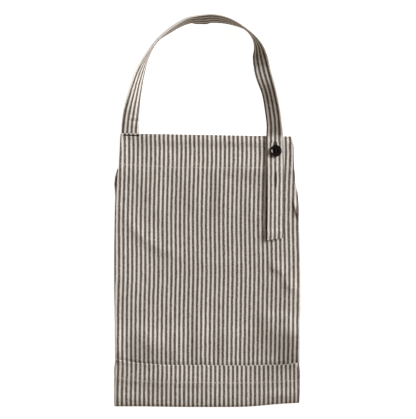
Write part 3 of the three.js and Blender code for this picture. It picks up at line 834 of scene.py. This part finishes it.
def thread_object(name, start, end, radius, bulge, sink, steps=7, sides=6):
    """Short threads, each a tube from start to end: its middle arches up by bulge and its ends sink in."""
    up = np.broadcast_to([0.0, 0.0, 1.0], start.shape)
    t = np.linspace(0, 1, steps)[None, :, None]
    arch = bulge * np.sin(math.pi * t) - sink * (1 - np.sin(math.pi * t))
    centre = start[:, None, :] + (end - start)[:, None, :] * t + up[:, None, :] * arch
    beside = np.cross(up, end - start)
    beside /= np.linalg.norm(beside, axis=1, keepdims=True)
    turn = np.linspace(0, 2 * math.pi, sides, endpoint=False)[None, None, :, None]
    swell = radius * np.sqrt(np.sin(math.pi * np.clip(t, TIP, 1 - TIP)))[..., None]
    ring = np.cos(turn) * beside[:, None, None, :] + np.sin(turn) * up[:, None, None, :]
    points = (centre[:, :, None, :] + swell * ring).reshape(-1, 3)
    index = np.arange(len(start) * steps * sides).reshape(len(start), steps, sides)
    return mesh_object(name, points, ring_quads(index))


def on_cloth(x, y, top):
    """Points on a face of the folded cloth, at its nominal places x and y."""
    return np.stack([x, skewed(x, y), top(x, y)], -1)


def hem_stitches(name, span, line_y, top):
    """A run of stitches along a hem: equal lengths with short gaps, laid on the cloth's face."""
    starts = np.arange(span[0], span[1], HEM_STITCH.pitch)
    ends = starts + HEM_STITCH.length
    start = on_cloth(starts, line_y(starts), top)
    end = on_cloth(ends, line_y(ends), top)
    return thread_object(name, start, end, **HEM_THREAD)


def pocket_top(x, y):
    """Face of the pocket at its hem's stitches."""
    layer = CLOTH / 2 + stack_lift(y) + 2 * BEND + pocket_relief(x, y)
    return layer + 2 * PITCH - STITCH_GROOVE.depth + CLOTH / 2


def make_bar_tack():
    """Close upright stitches through the bib's corner that hold the strap's sewn end."""
    x = np.arange(TACK.left, TACK.right, TACK.pitch)
    middle = BIB_TOP - TACK.below_top + TACK_SWAY.height * np.sin(x * TACK_SWAY.beat)
    lean = TACK.lean * (-1) ** np.arange(len(x))
    start = on_cloth(x, middle - TACK.half, front_top)
    end = on_cloth(x, middle + TACK.half, front_top)
    start[:, 0] -= lean
    end[:, 0] += lean
    return thread_object("strap_bar_tack", start, end, **TACK_THREAD)


def make_buttonhole_stitches():
    """Close stitches across both lips of each buttonhole, from the slit outwards."""
    starts, ends = [], []
    for hole in BUTTONHOLES:
        middle, half = run_at(hole["y"]), hole["length"] / 2
        run = np.linspace(middle - half, middle + half, LIP_STITCH.count)
        for side in (-1, 1):
            lip = BUTTONHOLE_OFF_MIDDLE + side * slit_half_width(run)
            inside, outside = lip - side * LIP_STITCH.inside, lip + side * LIP_STITCH.outside
            starts.append(strap_surface(run, inside, STRAP / 2 - LIP_STITCH.sunk))
            ends.append(strap_surface(run, outside, STRAP / 2))
    return thread_object("buttonhole_stitches", np.concatenate(starts), np.concatenate(ends), **LIP_THREAD)


# Button

def on_bib(points):
    """Leans upright points with the bib's slope and sets them on the bib's face under the button."""
    x, y = BUTTON.x, BUTTON.y
    near = front_height(np.array([x, x, x]), np.array([y - 1, y, y + 1]))
    lean = math.atan((near[2] - near[0]) / 2)
    turned = points.copy()
    turned[:, 1] = points[:, 1] * math.cos(lean) - points[:, 2] * math.sin(lean)
    turned[:, 2] = points[:, 1] * math.sin(lean) + points[:, 2] * math.cos(lean)
    return turned + np.array([x, y, near[1] + CLOTH / 2])


def turned_object(name, profile, sides):
    """A profile of (radius, height) points turned about the upright axis."""
    angle = np.linspace(0, 2 * math.pi, sides, endpoint=False)[None, :]
    radius, height = profile[:, 0:1], profile[:, 1:2]
    points = np.stack([
        radius * np.cos(angle),
        radius * np.sin(angle),
        np.broadcast_to(height, (len(profile), sides)),
    ], -1).reshape(-1, 3)
    index = np.arange(len(profile) * sides).reshape(len(profile), sides)
    return mesh_object(name, on_bib(points), ring_quads(index))


def rounded_profile(radius, height, steps):
    """A smooth curve through the corners of a profile, by their run along it."""
    run = np.concatenate([[0], np.cumsum(np.hypot(np.diff(radius), np.diff(height)))])
    rows = table("run radius height", list(zip(run, radius, height)))
    at = np.linspace(0, run[-1], steps)
    return np.stack([through(rows, "run", "radius")(at), through(rows, "run", "height")(at)], -1)


def hole_centres():
    angle = math.pi / 4 + np.arange(HOLES.count) * 2 * math.pi / HOLES.count
    return HOLES.spread * np.stack([np.cos(angle), np.sin(angle)], -1)


def make_button():
    """The button's rounded rim and dish, turned from its profile."""
    profile = rounded_profile(BUTTON.radius - BUTTON_PROFILE["from_rim"], BUTTON_PROFILE["height"], 60)
    profile[:, 0] = np.maximum(profile[:, 0], TIP)
    return turned_object("button_shell", profile + np.array([0, BUTTON_BASE]), 72)


def make_button_hole_shade():
    """Painted shade of the holes: dark rings laid on the dish, one set for each hole."""
    sides = HOLES.sides
    angle = np.linspace(0, 2 * math.pi, sides, endpoint=False)
    points = []
    for centre in hole_centres():
        for ring in HOLE_SHADE_RINGS:
            x = centre[0] + ring["radius"] * np.cos(angle)
            y = centre[1] + ring["radius"] * np.sin(angle)
            points.append(np.stack([x, y, np.full_like(x, BUTTON_DISH + ring["height"])], -1))
    index = np.arange(len(points) * sides).reshape(HOLES.count, len(HOLE_SHADE_RINGS), sides)
    return mesh_object("button_hole_shade", on_bib(np.concatenate(points)), ring_quads(index))


def make_button_thread():
    """Strands over the dish between the holes."""
    holes = hole_centres()
    starts, ends = [], []
    for first, second in ((0, 1), (2, 3)):
        for shift in np.linspace(-STRANDS.half, STRANDS.half, STRANDS.count):
            offset = np.array([0, shift])
            starts.append([*(holes[first] + offset), BUTTON_DISH])
            ends.append([*(holes[second] + offset), BUTTON_DISH])
    start, end = on_bib(np.array(starts)), on_bib(np.array(ends))
    return thread_object("button_thread_strands", start, end, **STRAND_THREAD)


def make_button_shank():
    """The wound shank under the button, which flares out where it meets it."""
    top = BUTTON_BASE - SHANK.top
    height = np.linspace(SHANK.foot, top, 40)
    flare = SHANK_FLARE.width * eased(height, SHANK_FLARE, BUTTON_BASE)
    radius = SHANK.radius + SHANK.ripple * np.sin(height * SHANK.beat) + flare
    profile = np.stack([radius, height], -1)
    closed = np.concatenate([[[TIP, SHANK.foot]], profile, [[TIP, top]]])
    return turned_object("button_shank", closed, 24)


# Materials

class Wiring:
    """Short hand for nodes in one tree."""

    def __init__(self, tree):
        self.tree = tree

    def node(self, kind, **settings):
        made = self.tree.nodes.new(kind)
        for name, value in settings.items():
            setattr(made, name, value)
        return made

    def feed(self, socket, value):
        if isinstance(value, bpy.types.NodeSocket):
            self.tree.links.new(value, socket)
        else:
            socket.default_value = value

    def fill(self, node, values):
        for name, value in values.items():
            self.feed(node.inputs[name], value)

    def maths(self, operation, *values):
        made = self.node("ShaderNodeMath", operation=operation)
        for socket, value in zip(made.inputs, values):
            self.feed(socket, value)
        return made.outputs[0]

    def times(self, first, second):
        return self.maths("MULTIPLY", first, second)

    def plus(self, first, second):
        return self.maths("ADD", first, second)

    def minus(self, first, second):
        return self.maths("SUBTRACT", first, second)

    def vector(self, x, y, z=0.0):
        made = self.node("ShaderNodeCombineXYZ")
        for socket, value in zip(made.inputs, (x, y, z)):
            self.feed(socket, value)
        return made.outputs[0]

    def noise(self, vector, detail=2.0, roughness=0.5):
        made = self.node("ShaderNodeTexNoise", noise_dimensions="3D")
        self.fill(made, {"Vector": vector, "Scale": 1.0, "Detail": detail, "Roughness": roughness})
        return made.outputs[0]

    def step(self, value, start, end, low=0.0, high=1.0):
        made = self.node("ShaderNodeMapRange", interpolation_type="SMOOTHSTEP")
        self.fill(made, {"Value": value, "From Min": start, "From Max": end, "To Min": low, "To Max": high})
        return made.outputs[0]

    def mix(self, share, first, second, blend_type="MIX"):
        made = self.node("ShaderNodeMix", data_type="RGBA", blend_type=blend_type)
        self.feed(made.inputs[0], share)
        self.feed(made.inputs[6], first)
        self.feed(made.inputs[7], second)
        return made.outputs[2]

    def bump(self, height, strength, distance):
        made = self.node("ShaderNodeBump")
        self.fill(made, {"Strength": strength, "Distance": distance, "Height": height})
        return made.outputs[0]

    def object_place(self, scale):
        made = self.node("ShaderNodeVectorMath", operation="MULTIPLY")
        self.feed(made.inputs[0], self.node("ShaderNodeTexCoord").outputs["Object"])
        made.inputs[1].default_value = scale
        return made.outputs[0]


LIGHT_YARN = (0.722, 0.706, 0.673, 1.0)
DARK_YARN = (0.092, 0.067, 0.055, 1.0)
SLUB_YARN = (0.86, 0.83, 0.79, 1.0)
DARK_HORN = (0.003, 0.0012, 0.0008, 1)
PALE_HORN = (0.008, 0.0035, 0.0025, 1)
THREAD_PITCH = 0.62
# Noises of the cloth: change across and along it for each millimetre, own depth, detail and roughness
CLOTH_NOISES = {
    "wander": (0.12, 0.05, 3.0, 2.0, 0.5),
    "warp_slub": (1.7, 0.10, 7.0, 3.0, 0.6),
    "weft_slub": (0.10, 1.7, 13.0, 3.0, 0.6),
    "fleck": (0.5, 1.5, 29.0, 2.0, 0.6),
    "cloudy": (0.03, 0.03, 41.0, 3.0, 0.5),
    "beads": (0.42, 0.5, 53.0, 2.0, 0.6),
}
STRIPE_EDGE = Values(wander=0.8, beads=1.2, ragged=0.35, dark_to=0.45, pale_from=0.65)
SLUBS = Values(none_to=0.32, full_from=0.42, share=0.5)
TONE = Values(warp=0.34, weft=0.26, cloud=0.12, bead=3.4, base=0.64)
KNOTS = Values(warp=0.8, weft=0.9, weave=0.25)
WEFT_SHARE = 0.8


def linen_group():
    """Warp stripes in a plain weave with slubby yarns, from the flat cloth's coordinates in metres."""
    group = bpy.data.node_groups.new("striped_linen", "ShaderNodeTree")
    group.interface.new_socket("Flat cloth", in_out="INPUT", socket_type="NodeSocketVector")
    group.interface.new_socket("Colour", in_out="OUTPUT", socket_type="NodeSocketColor")
    for name in ("Roughness", "Height"):
        group.interface.new_socket(name, in_out="OUTPUT", socket_type="NodeSocketFloat")
    w = Wiring(group)
    split = w.node("ShaderNodeSeparateXYZ")
    w.feed(split.inputs[0], w.node("NodeGroupInput").outputs[0])
    u = w.times(split.outputs[0], 1000.0)
    v = w.times(split.outputs[1], 1000.0)
    noise = {}
    for name, (per_u, per_v, depth, detail, roughness) in CLOTH_NOISES.items():
        place = w.vector(w.times(u, per_u), w.times(v, per_v), depth)
        noise[name] = w.noise(place, detail, roughness)
    warp_slub, weft_slub, fleck = noise["warp_slub"], noise["weft_slub"], noise["fleck"]
    bead = w.minus(noise["beads"], 0.5)
    placed = w.maths("MULTIPLY_ADD", w.minus(noise["wander"], 0.5), STRIPE_EDGE.wander, u)
    placed = w.maths("MULTIPLY_ADD", bead, STRIPE_EDGE.beads, placed)
    beat = w.times(w.maths("PINGPONG", w.maths("DIVIDE", placed, STRIPE_REPEAT), 0.5), 2.0)
    ragged = w.maths("MULTIPLY_ADD", w.minus(warp_slub, 0.5), STRIPE_EDGE.ragged, beat)
    pale = w.step(ragged, STRIPE_EDGE.dark_to, STRIPE_EDGE.pale_from)
    warp, weft = (w.maths("SINE", w.times(at, 2 * math.pi / THREAD_PITCH)) for at in (u, v))
    over = w.times(warp, weft)
    weft_shows = w.times(w.step(over, -0.9, 0.4, 0.30, 0.0), w.step(fleck, 0.35, 0.7, 0.3, 1.3))
    share = w.plus(pale, w.times(weft_shows, WEFT_SHARE))
    base = w.mix(w.maths("MINIMUM", share, 1.0), DARK_YARN, LIGHT_YARN)
    thick = w.step(w.times(weft_slub, fleck), SLUBS.none_to, SLUBS.full_from)
    slubbed = w.mix(w.times(thick, SLUBS.share), base, SLUB_YARN)
    tone = w.plus(w.times(warp_slub, TONE.warp), w.times(weft_slub, TONE.weft))
    tone = w.plus(tone, w.times(noise["cloudy"], TONE.cloud))
    beaded = w.times(bead, w.minus(1.0, pale))
    tone = w.plus(tone, w.maths("MULTIPLY_ADD", beaded, TONE.bead, TONE.base))
    knots = w.plus(w.times(warp_slub, KNOTS.warp), w.times(weft_slub, KNOTS.weft))
    w.fill(w.node("NodeGroupOutput"), {
        "Colour": w.mix(1.0, slubbed, w.vector(tone, tone, tone), "MULTIPLY"),
        "Roughness": w.step(warp_slub, 0.2, 0.8, 0.97, 0.86),
        "Height": w.plus(w.times(over, KNOTS.weave), knots),
    })
    return group


def new_material(name):
    material = bpy.data.materials.new(name)
    material.use_nodes = True
    return material, Wiring(material.node_tree), material.node_tree.nodes["Principled BSDF"]


def striped_linen():
    """The cloth of the body, pocket and strap."""
    material, w, principled = new_material("striped_linen")
    cloth = w.node("ShaderNodeGroup", node_tree=linen_group())
    w.feed(cloth.inputs[0], w.node("ShaderNodeUVMap", uv_map="flat_cloth").outputs[0])
    w.fill(principled, {
        "Base Color": cloth.outputs["Colour"],
        "Roughness": cloth.outputs["Roughness"],
        "Normal": w.bump(cloth.outputs["Height"], 0.45, 0.0003),
        "Specular IOR Level": 0.2,
        "Sheen Weight": 0.1,
        "Sheen Roughness": 0.45,
    })
    return material


def thread_material(name, colour, gloss=0.5):
    """Twisted sewing thread: fine dark and light turns along it."""
    material, w, principled = new_material(name)
    twist = w.noise(w.object_place((2200.0, 2200.0, 2200.0)))
    darker = tuple(0.62 * part for part in colour[:3]) + (1.0,)
    w.fill(principled, {
        "Base Color": w.mix(w.step(twist, 0.3, 0.7), darker, colour),
        "Normal": w.bump(twist, 0.5, 0.0002),
        "Roughness": 0.85,
        "Specular IOR Level": gloss,
    })
    return material


def button_material():
    """Polished dark horn: brown-black with faint lighter drifts."""
    material, w, principled = new_material("dark_horn")
    drift = w.noise(w.object_place((240.0, 110.0, 240.0)), 4.0, 0.6)
    w.fill(principled, {
        "Base Color": w.mix(w.step(drift, 0.4, 0.75), DARK_HORN, PALE_HORN),
        "Roughness": w.step(drift, 0.2, 0.8, 0.26, 0.36),
        "Specular IOR Level": 0.1,
        "Coat Weight": 0.5,
        "Coat Roughness": 0.06,
    })
    return material


# Floor, light and camera

def make_floor():
    """A plain pale floor that glows a little, a hair below the part."""
    bpy.ops.mesh.primitive_plane_add(size=6.0, location=(0, 0, -0.0006))
    floor = bpy.context.object
    floor.name = "floor"
    material, w, principled = new_material("pale_floor")
    w.fill(principled, {
        "Base Color": (0.5, 0.5, 0.5, 1),
        "Roughness": 0.9,
        "Emission Color": (1, 1, 1, 1),
        "Emission Strength": 0.92,
    })
    floor.data.materials.append(material)
    floor.visible_diffuse = False


# Key light: the direction it shines from, its strength and the width of its source, in degrees
KEY_LIGHT = Values(azimuth=30.0, elevation=28.0, strength=4.45, width=34.0)
# Light from all round: from the sky above, and a warmer one back from the table below
SKY = Values(above=(0.235, 0.195, 0.155, 1), below=(0.76, 0.62, 0.51, 1))


def make_lamp(name, look):
    """A far lamp of some width, shining from an azimuth and elevation."""
    sun = bpy.data.lights.new(name, "SUN")
    sun.energy = look.strength
    sun.angle = math.radians(look.width)
    lamp = bpy.data.objects.new(name, sun)
    lamp.rotation_euler = (0, math.radians(90 - look.elevation), math.radians(look.azimuth))
    bpy.context.scene.collection.objects.link(lamp)


def make_light():
    """A broad soft key from the upper right and even light from all round."""
    make_lamp("key_light", KEY_LIGHT)
    world = bpy.data.worlds.new("studio")
    world.use_nodes = True
    w = Wiring(world.node_tree)
    heading = w.node("ShaderNodeSeparateXYZ")
    w.feed(heading.inputs[0], w.node("ShaderNodeTexCoord").outputs["Generated"])
    upper = w.step(heading.outputs[2], -0.1, 0.1)
    w.feed(world.node_tree.nodes["Background"].inputs["Color"], w.mix(upper, SKY.below, SKY.above))
    bpy.context.scene.world = world


CAMERA = Values(x=1.5, y=0.75, height=2608.0, lens=150.0)


def make_camera():
    """Straight down on the folded front, far off, so that a millimetre keeps its size across the view."""
    camera = bpy.data.cameras.new("camera")
    camera.lens = CAMERA.lens
    camera.sensor_width = 36.0
    camera.sensor_fit = "HORIZONTAL"
    camera.clip_end = 20.0
    holder = bpy.data.objects.new("camera", camera)
    holder.location = (CAMERA.x * MM, CAMERA.y * MM, CAMERA.height * MM)
    bpy.context.scene.collection.objects.link(holder)
    bpy.context.scene.camera = holder
    bpy.context.scene.view_settings.view_transform = "Standard"


# Putting it together

def dress(piece, material, node=None):
    """Gives a piece its material and its place on the part, and hides the solid that it stands for."""
    piece.data.materials.append(material)
    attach(piece, "root")
    if node:
        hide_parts(node)
    return piece


linen = striped_linen()
pale_thread = thread_material("pale_thread", (0.80, 0.76, 0.70, 1))
brown_thread = thread_material("brown_thread", (0.045, 0.023, 0.017, 1))
dark_thread = thread_material("dark_thread", (0.013, 0.008, 0.007, 1))
# Painted shade inside the button's holes, made like a thread with no gloss
hole_shadow = thread_material("hole_shadow", (0.001, 0.0006, 0.0005, 1), 0.0)
horn = button_material()

body = dress(make_apron_body(), linen, "apron_body")
pocket = dress(make_pocket(), linen, "pocket")
strap = dress(make_neck_strap(), linen, "neck_strap")
bib_row = hem_stitches("bib_hem_stitches", BIB_STITCHES, bib_stitch_line, front_top)
pocket_row = hem_stitches("pocket_hem_stitches", POCKET_STITCHES, pocket_stitch_line, pocket_top)
bib_stitches = dress(bib_row, pale_thread)
pocket_stitches = dress(pocket_row, pale_thread)
bar_tack = dress(make_bar_tack(), brown_thread)
hole_stitches = dress(make_buttonhole_stitches(), brown_thread)
dress(make_button(), horn, "button")
# The button holes' painted shade
dress(make_button_hole_shade(), hole_shadow)
dress(make_button_thread(), dark_thread, "button_thread")
dress(make_button_shank(), dark_thread, "button_thread")

make_floor()
make_light()
make_camera()
